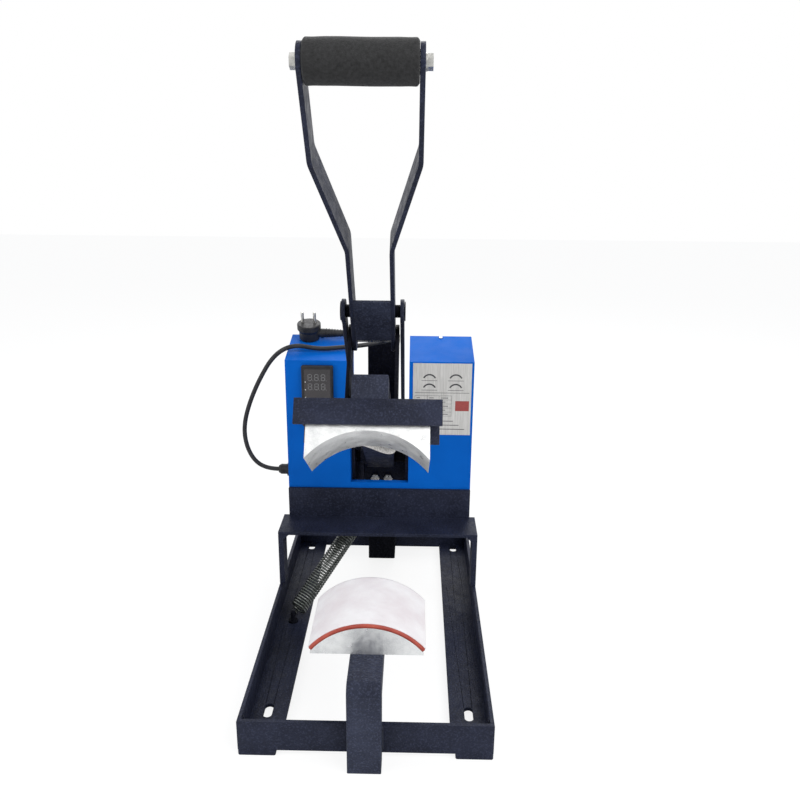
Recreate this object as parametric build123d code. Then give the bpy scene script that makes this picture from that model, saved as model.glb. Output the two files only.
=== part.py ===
from build123d import *
from math import atan2, cos, degrees, hypot, pi, radians, sin, sqrt, tan
import os

# Curved-platen hand press: a fixed padded platen on a low steel frame, a heated
# concave platen on a beam hinged at the rear, and a toggle handle above the beam.
# X is to the right, Y to the rear, Z up, in millimetres.  The origin is on the
# surface the press stands on; the beam is modelled level (pressing position) and
# then turned to its open rest position.

# ---------------------------------------------------------------- driving sizes
base_width = 305.0
base_depth = 570.0
rail_flange = 50.0
rail_height = 40.0
rail_wall = 5.0
foot_thickness = 8.0
foot_side = 45.0
bar_wall = 5.0
mount_slot_width = 11.0
mount_slot_length = 25.0
mount_slot_x = 127.0
mount_slot_setback = 64.0

post_width = 40.0
post_depth = 26.0
post_knee_radius = 14.0
post_arm_rear = 126.0
platen_seat_z = 118.0

platen_width = 142.0
platen_length = 80.0
platen_front_y = 36.0
lower_platen_length = 110.0
press_radius = 92.0
silicone_thickness = 4.5
cover_thickness = 1.2
soft_gap = 0.3
lower_edge_height = 8.0

shelf_reach = 158.0
shelf_top_z = 136.0
shelf_wall = 5.0
shelf_upstand = 48.0
leg_thickness = 8.0
leg_depth = 30.0

column_side = 46.0
column_wall = 3.0
column_inset = 97.0
column_top_z = 408.0
pivot_plate_wall = 5.0
pivot_plate_outer_x = 45.3
pivot_plate_reach = 68.0
back_plate_low_z = 150.0
back_plate_high_z = 262.0

housing_width = 287.0
housing_reach = 95.0
housing_depth = 86.0
housing_front_top_z = 391.0
housing_rear_rise = 20.4
housing_wall = 1.5
notch_width = 90.6
notch_sill_z = 193.5
cover_plate_wall = 1.5

beam_width = 44.0
beam_height = 38.0
beam_wall = 3.0
beam_front_y = 60.0
pivot_reach = 33.0
pivot_z = 215.0
pivot_pin_d = 12.0
running_clearance = 0.05
open_angle = 33.0
tail_lean = 5.2
tail_outer_x = 33.0
spring_lever = 107.4

channel_length = 170.0
channel_depth = 100.0
channel_height = 31.0
channel_wall = 3.0
channel_front_y = 30.0
upper_platen_height = 47.5
upper_edge_lift = 0.8
heater_d = 8.0
heater_length = 72.0
heater_count = 5
heater_spread = 72.0
thermocouple_x = 43.0

bracket_wall = 4.5
bracket_side_gap = 0.5
bracket_front_y = 90.0
bracket_rear_y = 146.0
bracket_eye_r = 17.0
handle_pivot_y = 128.7
handle_pivot_z = 306.3
handle_pin_d = 12.0
handle_lean = 36.2
handle_turn = 80.0
arm_thickness = 5.0
arm_width = 35.0
arm_gap = 45.0
arm_below_pivot = 17.5
arm_bend_low = 163.0
arm_bend_high = 280.0
arm_top = 397.5
arm_bend_radius = 30.0
grip_height = 380.0
grip_length = 107.0
grip_d = 42.0
grip_tube_d = 22.0
cross_plate_low = 14.0
cross_plate_high = 83.5
cross_plate_wall = 4.0
link_pin_d = 10.0
link_lever = 50.0
link_width = 22.0
link_wall = 5.0
link_inner_x = 34.0
link_pivot_reach = 43.0
link_eye_r = 11.0
link_loose_r = 8.6

spring_d = 27.0
spring_wire_d = 2.6
spring_anchor_inset = 27.5
spring_anchor_reach = 208.0
spring_anchor_z = 22.5

controller_x = -94.0
controller_z = 336.0
bezel_width = 48.0
bezel_height = 96.0
bezel_depth = 7.0
controller_body_width = 44.0
controller_body_height = 90.0
controller_body_depth = 62.0
key_width = 7.0
key_height = 5.0
key_count = 4
key_pitch = 10.0
key_proud = 1.2
key_gap = 0.25
key_drop = 38.0

label_width = 89.0
label_height = 114.0
label_x = 95.5
label_z = 332.0
label_thickness = 0.5

cord_d = 7.0
gland_setback = 30.0
gland_z = 202.0
gland_length = 20.0

# ---------------------------------------------------------------- derived places
half_base = base_width / 2
column_front_y = base_depth - column_inset
rear_bar_front_y = column_front_y + column_side
shelf_front_y = column_front_y - shelf_reach
pivot_plate_front_y = column_front_y - pivot_plate_reach
housing_front_y = column_front_y - housing_reach
pivot_y = column_front_y - pivot_reach
link_pivot_y = column_front_y - link_pivot_reach
spring_anchor_x = spring_anchor_inset - half_base
spring_anchor_y = column_front_y - spring_anchor_reach
gland_y = housing_front_y + gland_setback
rail_top_z = foot_thickness + rail_height
half_platen = platen_width / 2
edge_rise = sqrt(press_radius**2 - half_platen**2)
press_centre_z = platen_seat_z + lower_edge_height - edge_rise
platen_rear_y = platen_front_y + platen_length
lower_rear_y = platen_front_y + lower_platen_length
housing_rear_y = housing_front_y + housing_depth
housing_rear_top_z = housing_front_top_z + housing_rear_rise
beam_bottom_z = pivot_z - beam_height / 2
beam_top_z = pivot_z + beam_height / 2
channel_mid_y = channel_front_y + channel_depth / 2
arm_x = arm_gap / 2 + arm_thickness / 2
bracket_inner_x = arm_gap / 2 + arm_thickness + bracket_side_gap
top_slope = atan2(housing_rear_rise, housing_depth)


def top_surface_z(y):
    """Height of the housing's sloping top at depth y."""
    return housing_front_top_z + (y - housing_front_y) * tan(top_slope)


def block(x0, x1, y0, y1, z0, z1):
    """Box between two corners."""
    size = Box(x1 - x0, y1 - y0, z1 - z0)
    return Pos((x0 + x1) / 2, (y0 + y1) / 2, (z0 + z1) / 2) * size


def rod_x(radius, x0, x1, y, z):
    """Round bar along X."""
    return Pos((x0 + x1) / 2, y, z) * Rot(0, 90, 0) * Cylinder(radius, abs(x1 - x0))


def rod_y(radius, y0, y1, x, z):
    """Round bar along Y."""
    return Pos(x, (y0 + y1) / 2, z) * Rot(90, 0, 0) * Cylinder(radius, abs(y1 - y0))


def rod_z(radius, z0, z1, x, y):
    """Round bar along Z."""
    return Pos(x, y, (z0 + z1) / 2) * Cylinder(radius, abs(z1 - z0))


def hex_x(flats, x0, x1, y, z):
    """Hexagonal nut or head along X."""
    outline = RegularPolygon(flats / 2, 6, major_radius=False)
    low = min(x0, x1)
    return Plane((low, y, z), x_dir=(0, 1, 0), z_dir=(1, 0, 0)) * extrude(outline, abs(x1 - x0))


def hex_z(flats, z0, z1, x, y):
    """Hexagonal nut or head along Z."""
    return Pos(x, y, z0) * extrude(RegularPolygon(flats / 2, 6, major_radius=False), z1 - z0)


def side_profile(points, x0, x1):
    """Prism along X with a corner list given as (y, z)."""
    outline = make_face(Polyline(*[(0, y, z) for y, z in points], close=True))
    return Pos(x0, 0, 0) * extrude(outline, x1 - x0, dir=(1, 0, 0))


def mirrored(shape):
    """The same piece on the other side of the centre plane."""
    return mirror(shape, about=Plane.YZ)


def opened(shape):
    """Turn a piece of the beam from the pressing position to the open one."""
    return shape.rotate(Axis((0, pivot_y, pivot_z), (1, 0, 0)), -open_angle)


def opened_point(y, z):
    """Where a point (y, z) of the beam lies when the beam is open."""
    turn = radians(-open_angle)
    dy, dz = y - pivot_y, z - pivot_z
    return (pivot_y + dy * cos(turn) - dz * sin(turn), pivot_z + dy * sin(turn) + dz * cos(turn))


handle_open = opened_point(handle_pivot_y, handle_pivot_z)


def on_handle(shape):
    """Place a piece drawn upright from the handle's pivot onto the leaning handle."""
    return Pos(0, *handle_open) * Rot(handle_lean, 0, 0) * shape


def link_geometry():
    """Pin on the handle and pivot on the uprights that suit both ends of the stroke."""
    angle = radians(90 + handle_lean)
    pin_open = (handle_open[0] + link_lever * cos(angle), handle_open[1] + link_lever * sin(angle))
    closed = angle + radians(handle_turn)
    pin_closed = (handle_pivot_y + link_lever * cos(closed), handle_pivot_z + link_lever * sin(closed))
    mid_y = (pin_open[0] + pin_closed[0]) / 2
    mid_z = (pin_open[1] + pin_closed[1]) / 2
    along_y = pin_closed[0] - pin_open[0]
    along_z = pin_closed[1] - pin_open[1]
    pivot_height = mid_z - (link_pivot_y - mid_y) * along_y / along_z
    return pin_open, pin_closed, (link_pivot_y, pivot_height)


pin_open, pin_closed, link_pivot = link_geometry()
link_length = hypot(link_pivot[0] - pin_open[0], link_pivot[1] - pin_open[1])


def link_angle(pin):
    return degrees(atan2(link_pivot[1] - pin[1], link_pivot[0] - pin[0]))


print("handle pivot open", handle_open)
print("link pin open", pin_open, "closed", pin_closed)
print("link pivot", link_pivot, "length", link_length)
print("link turn", link_angle(pin_closed) - link_angle(pin_open))


# ---------------------------------------------------------------- base frame
def rail(side):
    """Side rail: unequal angle with a slot near each end for bench bolts."""
    z0 = foot_thickness
    y0, y1 = bar_wall, base_depth - bar_wall
    foot = block(half_base - rail_flange, half_base, y0, y1, z0, z0 + rail_wall)
    web = block(half_base - rail_wall, half_base, y0, y1, z0, z0 + rail_height)
    shape = foot + web
    for y in (mount_slot_setback, base_depth - mount_slot_setback):
        slot = extrude(Rot(0, 0, 90) * SlotOverall(mount_slot_length, mount_slot_width), rail_wall * 3)
        shape -= Pos(mount_slot_x, y, z0 - rail_wall) * slot
    return shape if side > 0 else mirrored(shape)


def foot_pads():
    """Four square feet under the corners."""
    pads = []
    for x in (-half_base, half_base - foot_side):
        for y in (0, base_depth - foot_side):
            pad = block(x, x + foot_side, y, y + foot_side, 0, foot_thickness)
            pads.append(chamfer(pad.edges().filter_by(Axis.Z), 1.5))
    return pads


def front_post():
    """Bent bar: stands in front of the front bar, then runs back under the platen."""
    outer_y = -post_depth
    top = platen_seat_z
    points = [
        (outer_y, 0),
        (outer_y, top),
        (post_arm_rear, top),
        (post_arm_rear, top - post_depth),
        (0, top - post_depth),
        (0, 0),
    ]
    body = side_profile(points, -post_width / 2, post_width / 2)
    knee = body.edges().filter_by(Axis.X).sort_by_distance((0, outer_y, top))[0]
    body = fillet(knee, post_knee_radius)
    body = fillet(body.edges().filter_by(Axis.Z), 1.5)
    for y in lower_bolt_rows():
        body -= rod_z(3.0, top - post_depth - 1, top + 1, 0, y)
    return body


def lower_platen():
    """Aluminium segment: flat seat below, arc above."""
    r = press_radius - cover_thickness - silicone_thickness
    y0, y1 = platen_front_y, lower_rear_y
    side = half_platen - 3
    drum = rod_y(r, y0, y1, 0, press_centre_z)
    keep = block(-side, side, y0, y1, platen_seat_z, platen_seat_z + 60)
    shape = drum & keep
    for y in lower_bolt_rows():
        shape -= rod_z(3.0, platen_seat_z, platen_seat_z + 16, 0, y)
    return shape


def lower_bolt_rows():
    mid = platen_front_y + lower_platen_length / 2
    return (mid - 22, mid + 22)


def arc_sheet(inner_r, outer_r, half_chord, y0, y1):
    """Curved sheet lying on the pressing arc between two radii."""
    ring = rod_y(outer_r, y0, y1, 0, press_centre_z) - rod_y(inner_r, y0 - 1, y1 + 1, 0, press_centre_z)
    low = press_centre_z + sqrt(outer_r**2 - half_chord**2)
    limit = degrees(atan2(half_chord, low - press_centre_z))
    wedge = make_face(
        Polyline(
            (0, 0, press_centre_z),
            (-2 * outer_r * sin(radians(limit)), 0, press_centre_z + 2 * outer_r * cos(radians(limit))),
            (2 * outer_r * sin(radians(limit)), 0, press_centre_z + 2 * outer_r * cos(radians(limit))),
            close=True,
        )
    )
    prism = Pos(0, y0 - 1, 0) * extrude(wedge, y1 - y0 + 2, dir=(0, 1, 0))
    return ring & prism


def silicone_pad():
    outer = press_radius - cover_thickness
    return arc_sheet(outer - silicone_thickness, outer, half_platen, platen_front_y, lower_rear_y)


def pad_cover():
    """Cloth cover stretched over the silicone."""
    inner = press_radius - cover_thickness
    return arc_sheet(inner, press_radius, half_platen, platen_front_y + 2, lower_rear_y - 1)


def lower_platen_bolts():
    """Two screws up through the post's arm into the platen."""
    under = platen_seat_z - post_depth
    screws = []
    for y in lower_bolt_rows():
        screws.append(rod_z(3.0, under, platen_seat_z + 14, 0, y) + rod_z(5.5, under - 4, under, 0, y))
    return screws


# ---------------------------------------------------------------- housing support
def shelf_angle():
    """Angle across the legs whose upstand carries the housing's foot."""
    z1 = shelf_top_z
    flat = block(-half_base, half_base, shelf_front_y, housing_front_y, z1 - shelf_wall, z1)
    half = housing_width / 2
    stand = block(-half, half, housing_front_y - shelf_wall, housing_front_y, z1, z1 + shelf_upstand)
    return flat + stand


def leg(side):
    """Flat leg from a rail up to the shelf, with a small corner gusset."""
    x1 = half_base
    x0 = x1 - leg_thickness
    top = shelf_top_z - shelf_wall
    y0 = shelf_front_y
    shape = block(x0, x1, y0, y0 + leg_depth, rail_top_z, top)
    gusset = make_face(Polyline((x0, y0, top), (x0 - 8, y0, top), (x0, y0, top - 8), close=True))
    shape += extrude(gusset, leg_depth, dir=(0, 1, 0))
    return shape if side > 0 else mirrored(shape)


def housing_profile(inset, rear):
    """Side outline (y, z) of the housing, moved inwards by a wall."""
    drop = inset / cos(top_slope)
    y0 = housing_front_y + inset
    z_front = top_surface_z(y0) - drop
    z_rear = top_surface_z(rear) - drop
    return [(y0, shelf_top_z), (y0, z_front), (rear, z_rear), (rear, shelf_top_z)]


def rear_cover(side):
    """Rear plate of one box with rows of cooling slots."""
    x0, x1 = notch_width / 2, housing_width / 2
    y0 = housing_rear_y
    top = top_surface_z(y0)
    plate = block(x0, x1, y0, y0 + cover_plate_wall, shelf_top_z, top)
    mid = (x0 + x1) / 2
    for row in range(7):
        z = shelf_top_z + 130 + row * 14
        slot = Plane((mid, y0 - 1, z), x_dir=(1, 0, 0), z_dir=(0, 1, 0)) * extrude(SlotOverall(50, 4), 5)
        plate -= slot
    return plate if side > 0 else mirrored(plate)


def pan_screw_y(x, z, y_face, direction):
    """Pan-head screw in a wall facing along Y; direction is the way it points out."""
    head = rod_y(3.2, y_face, y_face + 2.2 * direction, x, z)
    head = fillet(head.edges().filter_by(GeomType.CIRCLE).sort_by(Axis.Y)[-1 if direction > 0 else 0], 1.0)
    y0, y1 = sorted((y_face, y_face + 9 * direction))
    cross = block(x - 1.9, x + 1.9, y0, y1, z - 0.4, z + 0.4)
    shave = Pos(0, 1.2 * direction, 0) * cross
    return head - shave


def cover_screws():
    """Screws around both rear plates."""
    screws = []
    y = housing_rear_y + cover_plate_wall
    for side in (-1, 1):
        for x in (notch_width / 2 + 8, housing_width / 2 - 8):
            for z in (shelf_top_z + 10, housing_rear_top_z - 10):
                screws.append(pan_screw_y(side * x, z, y, 1))
    return screws


def top_screws():
    """One screw near the rear edge of each box's sloping top."""
    screws = []
    y = housing_rear_y - 6
    for side in (-1, 1):
        x = side * (notch_width / 2 + housing_width / 2) / 2
        head = Cylinder(3.2, 2.0, align=(Align.CENTER, Align.CENTER, Align.MIN))
        head = fillet(head.edges().filter_by(GeomType.CIRCLE).sort_by(Axis.Z)[-1], 0.9)
        screws.append(Pos(x, y, top_surface_z(y)) * Rot(degrees(top_slope), 0, 0) * head)
    return screws


# ---------------------------------------------------------------- controls
def controller_body():
    w, h = controller_body_width / 2, controller_body_height / 2
    y0 = housing_front_y
    x, z = controller_x, controller_z
    return block(x - w, x + w, y0, y0 + controller_body_depth, z - h, z + h)


def key_centres():
    first = controller_x - key_pitch * (key_count - 1) / 2
    return [(first + i * key_pitch, controller_z - key_drop) for i in range(key_count)]


def controller_bezel():
    """Front frame of the controller with key openings and a sunk display."""
    w, h = bezel_width / 2, bezel_height / 2
    y1 = housing_front_y
    x, z = controller_x, controller_z
    shape = block(x - w, x + w, y1 - bezel_depth, y1, z - h, z + h)
    shape = fillet(shape.edges().filter_by(Axis.Y), 2.0)
    front = shape.faces().sort_by(Axis.Y)[0]
    shape = chamfer(front.edges(), 1.0)
    shape -= block(x - w + 4, x + w - 4, y1 - bezel_depth - 1, y1 - bezel_depth + 1.5, z - 26, z + h - 5)
    for kx, kz in key_centres():
        kw, kh = key_width / 2 + key_gap, key_height / 2 + key_gap
        shape -= block(kx - kw, kx + kw, y1 - bezel_depth - 1, y1 - 2, kz - kh, kz + kh)
    return shape


def display_window():
    w, h = bezel_width / 2, bezel_height / 2
    y0 = housing_front_y - bezel_depth
    x, z = controller_x, controller_z
    return block(x - w + 4, x + w - 4, y0 + 0.5, y0 + 1.5, z - 26, z + h - 5)


def key(index):
    x, z = key_centres()[index]
    y0 = housing_front_y - bezel_depth - key_proud
    y1 = housing_front_y - 3.2
    cap = block(x - key_width / 2, x + key_width / 2, y0, y1, z - key_height / 2, z + key_height / 2)
    return fillet(cap.faces().sort_by(Axis.Y)[0].edges(), 0.5)


def label_plate():
    w, h = label_width / 2, label_height / 2
    y1 = housing_front_y
    return block(label_x - w, label_x + w, y1 - label_thickness, y1, label_z - h, label_z + h)


def relay():
    """Solid-state relay on the inner rear of the right box."""
    x = (notch_width + housing_width) / 4
    y1 = housing_rear_y
    body = block(x - 22, x + 22, y1 - 26, y1, shelf_top_z + 40, shelf_top_z + 98)
    return body + block(x - 16, x + 16, y1 - 31, y1 - 26, shelf_top_z + 46, shelf_top_z + 92)


def terminal_block():
    """Screw terminals on the floor of the left box."""
    x = -(notch_width + housing_width) / 4
    y = housing_front_y + housing_depth / 2
    body = block(x - 30, x + 30, y - 10, y + 10, shelf_top_z, shelf_top_z + 14)
    for i in range(6):
        body -= rod_z(2.6, shelf_top_z + 8, shelf_top_z + 15, x - 25 + 10 * i, y)
    return body


def cable_gland():
    """Threaded gland in the left wall: nut, body and domed cap."""
    x = -housing_width / 2
    nut = hex_x(19, x + housing_wall, x + housing_wall + 4, gland_y, gland_z)
    thread = rod_x(6.0, x, x + housing_wall + 6, gland_y, gland_z)
    flange = hex_x(19, x - 6, x, gland_y, gland_z)
    cap = rod_x(8.2, x - gland_length, x - 6, gland_y, gland_z)
    cap = chamfer(cap.edges().filter_by(GeomType.CIRCLE).sort_by(Axis.X)[0], 4.0, 2.5)
    bore = rod_x(cord_d / 2, x - gland_length - 1, x + 9, gland_y, gland_z)
    return nut + thread + flange + cap - bore


# ---------------------------------------------------------------- power cord
plug_centre_x = -114.0
plug_y = housing_front_y + 72.0
plug_pin_pitch = 19.0
relief_length = 46.0
plug_lift = 10.0


def plug_seat():
    """Frame of the plug: on the housing's sloping top, Z away from the surface."""
    return Pos(plug_centre_x, plug_y, top_surface_z(plug_y) + 0.4) * Rot(degrees(top_slope), 0, 0)


def plug_body():
    """Moulded angled plug lying on the housing with its pins upwards."""
    base = Cylinder(16, 14, align=(Align.CENTER, Align.CENTER, Align.MIN))
    neck = Pos(0, 0, 14) * Cone(16, 18.5, 4, align=(Align.CENTER, Align.CENTER, Align.MIN))
    face = Pos(0, 0, 18) * Cylinder(18.5, 9, align=(Align.CENTER, Align.CENTER, Align.MIN))
    shape = base + neck + face
    shape = fillet(shape.edges().filter_by(GeomType.CIRCLE).sort_by(Axis.Z)[0], 2.5)
    shape = fillet(shape.edges().filter_by(GeomType.CIRCLE).sort_by(Axis.Z)[-1], 1.5)
    relief = Cone(7.0, 4.6, relief_length - 8, align=(Align.CENTER, Align.CENTER, Align.MIN))
    root = Cylinder(7.0, 15 + 8, align=(Align.CENTER, Align.CENTER, Align.MIN))
    shape += Pos(0, 0, plug_lift) * Rot(0, 90, 0) * root
    shape += Pos(23, 0, plug_lift) * Rot(0, 90, 0) * relief
    for side in (-1, 1):
        at_pin = Pos(side * plug_pin_pitch / 2, 0, 15)
        shape -= at_pin * Cylinder(2.4, 14, align=(Align.CENTER, Align.CENTER, Align.MIN))
    return plug_seat() * shape


def plug_pins():
    """Two round pins with rounded tips."""
    pins = []
    for side in (-1, 1):
        pin = Cylinder(2.4, 31, align=(Align.CENTER, Align.CENTER, Align.MIN))
        pin = fillet(pin.edges().filter_by(GeomType.CIRCLE).sort_by(Axis.Z)[-1], 1.6)
        pins.append(plug_seat() * Pos(side * plug_pin_pitch / 2, 0, 15) * pin)
    return pins


def relief_tip():
    """Where the cord meets the plug's strain relief."""
    at = plug_seat() * Pos(23 + relief_length - 8, 0, plug_lift)
    return at.position.X, at.position.Y, at.position.Z

def cord_route():
    """Corners of the mains lead: gland, side loop, over the box, round the column's top."""
    tip = relief_tip()
    return [
        (-housing_width / 2 - gland_length, gland_y, gland_z),
        (-180, 408, gland_z),
        (-201, 408, 213),
        (-214, 408, 238),
        (-217.5, 408, 270),
        (-209, 407, 306),
        (-190, 405, 350),
        (-164, 403, 393),
        (-133, 402, 410),
        (-96, 405, 402.2),
        (-62, 410, 404),
        (-28, 417, 406),
        (-2, 428, 408.5),
        (16, 443, 410.8),
        (24, 463, 412),
        (22, 484, 412.2),
        (9, 499, 412.4),
        (-10, 501, 412.8),
        (-24, 489, 413.8),
        (-28, 473, 415.8),
        (-30, 457, 417.2),
        (tip[0] + 13, tip[1], tip[2]),
        tip,
    ]


def cord_tube(points, diameter, name):
    """Round cord along straight runs joined by arcs as large as the runs allow."""
    radii = []
    for before, at, after in zip(points, points[1:], points[2:]):
        incoming = Vector(*at) - Vector(*before)
        outgoing = Vector(*after) - Vector(*at)
        turn = radians(incoming.get_angle(outgoing))
        radii.append(0.45 * min(incoming.length, outgoing.length) / tan(turn / 2))
    path = FilletPolyline(*points, radius=radii)
    start = Plane(origin=path @ 0, z_dir=path % 0)
    tube = sweep(start * Circle(diameter / 2), path)
    expected = pi * (diameter / 2) ** 2 * path.length
    print(name, "length", round(path.length, 1), "volume ratio", round(tube.volume / expected, 4))
    print(name, "radii", [round(r, 1) for r in radii])
    return tube


# ---------------------------------------------------------------- beam (drawn level)
def beam_tube():
    """Main arm: rectangular tube closed at the front, with a pivot bush at the rear."""
    rear = pivot_y + beam_height / 2
    body = block(-beam_width / 2, beam_width / 2, beam_front_y, pivot_y, beam_bottom_z, beam_top_z)
    body = fillet(body.edges().filter_by(Axis.Y), 2.0)
    inner_w = beam_width / 2 - beam_wall
    body -= block(-inner_w, inner_w, beam_front_y + beam_wall, pivot_y + 1,
                  beam_bottom_z + beam_wall, beam_top_z - beam_wall)
    eye = rod_x(beam_height / 2, -beam_width / 2, beam_width / 2, pivot_y, pivot_z)
    body = body + eye
    bore = pivot_pin_d / 2 + running_clearance
    body -= rod_x(bore, -beam_width, beam_width, pivot_y, pivot_z)
    body -= rod_z(8.0, beam_bottom_z - 1, beam_bottom_z + beam_wall + 1, lead_entry_x, lead_entry_y)
    return opened(body)


def tail_lever():
    """Flat lever beside the beam's rear eye, which the spring pulls."""
    y, z = spring_eye_level()
    x1 = -beam_width / 2 - 5
    shape = flat_link((pivot_y, pivot_z), 16, (y, z), 9, 9, -tail_outer_x, x1)
    shape += rod_x(14, x1, -beam_width / 2, pivot_y, pivot_z)
    shape -= rod_x(pivot_pin_d / 2 + running_clearance, -40, 0, pivot_y, pivot_z)
    shape -= rod_x(3.0, -40, -20, y, z)
    return opened(shape)


def spring_eye_level():
    """Spring's hole in the tail, with the beam level."""
    lean = radians(tail_lean)
    return (pivot_y + spring_lever * sin(lean), pivot_z - spring_lever * cos(lean))


def spring_pin():
    """Pin on the tail that holds the spring's hook."""
    y, z = spring_eye_level()
    x = beam_width / 2 + 5
    pin = rod_x(3.0, -tail_outer_x - 9, -x, y, z)
    collar = rod_x(4.2, -tail_outer_x - 9, -tail_outer_x - 7, y, z)
    return opened(pin + collar)


def platen_channel():
    """Inverted channel across the beam's underside; its flanges hide the heater."""
    half = channel_length / 2
    y0, y1 = channel_front_y, channel_front_y + channel_depth
    z1 = beam_bottom_z
    z0 = z1 - channel_height
    shape = block(-half, half, y0, y1, z0, z1)
    shape -= block(-half - 1, half + 1, y0 + channel_wall, y1 - channel_wall, z0 - 1, z1 - channel_wall)
    shape -= block(-20, -4, y1 - channel_wall - 1, y1 + 1, z0 - 1, z0 + 9)
    for x, y in platen_bolt_places():
        shape -= rod_z(3.0, z1 - channel_wall - 1, z1 + 1, x, y)
    return opened(shape)


def platen_bolt_places():
    mid = platen_front_y + platen_length / 2
    return [(x, y) for x in (-52, 52) for y in (mid - 26, mid + 26)]


platen_top_z = press_centre_z + edge_rise + upper_edge_lift + upper_platen_height


def heater_places():
    """Bores that follow the pressing arc, as (x, z) pairs."""
    r = press_radius + heater_d / 2 + 4.5
    step = heater_spread / (heater_count - 1)
    angles = [radians(-heater_spread / 2 + i * step) for i in range(heater_count)]
    return [(r * sin(a), press_centre_z + r * cos(a)) for a in angles]


def upper_platen():
    """Heated aluminium block with the hollow arc and bores for the heaters."""
    low = press_centre_z + edge_rise + upper_edge_lift
    shape = block(-half_platen, half_platen, platen_front_y, platen_rear_y, low, platen_top_z)
    shape -= rod_y(press_radius + soft_gap, platen_front_y - 1, platen_rear_y + 1, 0, press_centre_z)
    for x, z in heater_places():
        shape -= rod_y(heater_d / 2, platen_rear_y - heater_length + 4, platen_rear_y + 1, x, z)
    for x, y in platen_bolt_places():
        shape -= rod_z(3.0, platen_top_z - 14, platen_top_z + 1, x, y)
    shape -= rod_y(2.5, platen_rear_y - 20, platen_rear_y + 1, thermocouple_x, platen_top_z - 8)
    return opened(shape)


def cartridge_heaters():
    heaters = []
    for x, z in heater_places():
        y1 = platen_rear_y + 4
        heaters.append(opened(rod_y(heater_d / 2, y1 - heater_length, y1, x, z)))
    return heaters


def thermocouple():
    z = platen_top_z - 8
    x = thermocouple_x
    probe = rod_y(2.5, platen_rear_y - 19, platen_rear_y, x, z)
    return opened(probe + rod_y(4.0, platen_rear_y, platen_rear_y + 5, x, z))


def insulation_block():
    """Fibre board between the hot platen and the channel."""
    z1 = beam_bottom_z - channel_wall
    shape = block(-half_platen, half_platen, platen_front_y, platen_rear_y, platen_top_z, z1)
    for x, y in platen_bolt_places():
        shape -= rod_z(3.0, platen_top_z - 1, z1 + 1, x, y)
    return opened(shape)


def platen_bolts():
    """Four bolts down through the channel and the board into the platen."""
    bolts = []
    z1 = beam_bottom_z
    for x, y in platen_bolt_places():
        shank = rod_z(3.0, platen_top_z - 12, z1, x, y)
        bolts.append(opened(shank + hex_z(10, z1, z1 + 4, x, y)))
    return bolts


lead_entry_x = 12.0
lead_entry_y = 196.0
lead_d = 8.0


def heater_lead():
    """Sleeved lead from the rear of the platen, looping up into the beam."""
    points = [
        (-12, platen_rear_y, 166.5),
        (-12, 126, 166.5),
        (-9, 138, 168),
        (-1, 150, 168),
        (11, 160, 165),
        (22, 169, 164),
        (27, 179, 169),
        (24, 188, 179),
        (16, 193, 188),
        (lead_entry_x, lead_entry_y, 199),
        (lead_entry_x - 1, lead_entry_y + 4, 210),
    ]
    return opened(cord_tube(points, lead_d, "lead"))


# ---------------------------------------------------------------- handle (drawn upright)
def arm(side):
    """Flat bar: close together at the pivot, spread apart at the grip."""
    wide_x = grip_length / 2 + arm_thickness / 2
    path = FilletPolyline(
        (arm_x, 0, -arm_below_pivot),
        (arm_x, 0, arm_bend_low),
        (wide_x, 0, arm_bend_high),
        (wide_x, 0, arm_top),
        radius=arm_bend_radius,
    )
    section = Plane(origin=path @ 0, x_dir=(1, 0, 0), z_dir=path % 0) * Rectangle(arm_thickness, arm_width)
    bar = sweep(section, path)
    length = arm_top + arm_below_pivot
    centre = Pos(0, (arm_top - arm_below_pivot) / 2)
    outline = Plane.YZ * centre * Rot(0, 0, 90) * SlotOverall(length, arm_width)
    keep = extrude(outline, 200, dir=(1, 0, 0))
    shape = bar & keep
    shape -= rod_x(handle_pin_d / 2 + running_clearance, 0, 100, 0, 0)
    shape -= rod_x(link_pin_d / 2, 0, 100, 0, link_lever)
    shape -= rod_x(4.0, 0, 100, 0, grip_height)
    return on_handle(shape if side > 0 else mirrored(shape))


def cross_plate():
    """Plate across the front of both arms above and below the pivot."""
    y0 = -arm_width / 2
    x = arm_gap / 2
    plate = block(-x, x, y0, y0 + cross_plate_wall, cross_plate_low, cross_plate_high)
    return on_handle(plate)


def grip_tube():
    """Steel tube between the arms under the foam."""
    x = grip_length / 2
    tube = rod_x(grip_tube_d / 2, -x, x, 0, grip_height) - rod_x(4.0, -x - 1, x + 1, 0, grip_height)
    return on_handle(tube)


def foam_grip():
    x = grip_length / 2 - soft_gap
    foam = rod_x(grip_d / 2, -x, x, 0, grip_height)
    foam = fillet(foam.edges().filter_by(GeomType.CIRCLE), 3.0)
    return on_handle(foam - rod_x(grip_tube_d / 2, -x - 1, x + 1, 0, grip_height))


def grip_bolts():
    """Bolt with washer at each end of the grip tube."""
    bolts = []
    x = grip_length / 2 + arm_thickness
    for side in (-1, 1):
        shank = rod_x(4.0, side * (x - 40), side * x, 0, grip_height)
        washer = rod_x(8.0, side * x, side * (x + 1.6), 0, grip_height)
        head = hex_x(13, side * (x + 1.6), side * (x + 7), 0, grip_height)
        bolts.append(on_handle(shank + washer + head))
    return bolts


# ---------------------------------------------------------------- link
# ---------------------------------------------------------------- spring
def spring_ends():
    y, z = opened_point(*spring_eye_level())
    low = Vector(spring_anchor_x, spring_anchor_y, spring_anchor_z)
    high = Vector(-tail_outer_x - 3.5, y, z)
    return low, high


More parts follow.
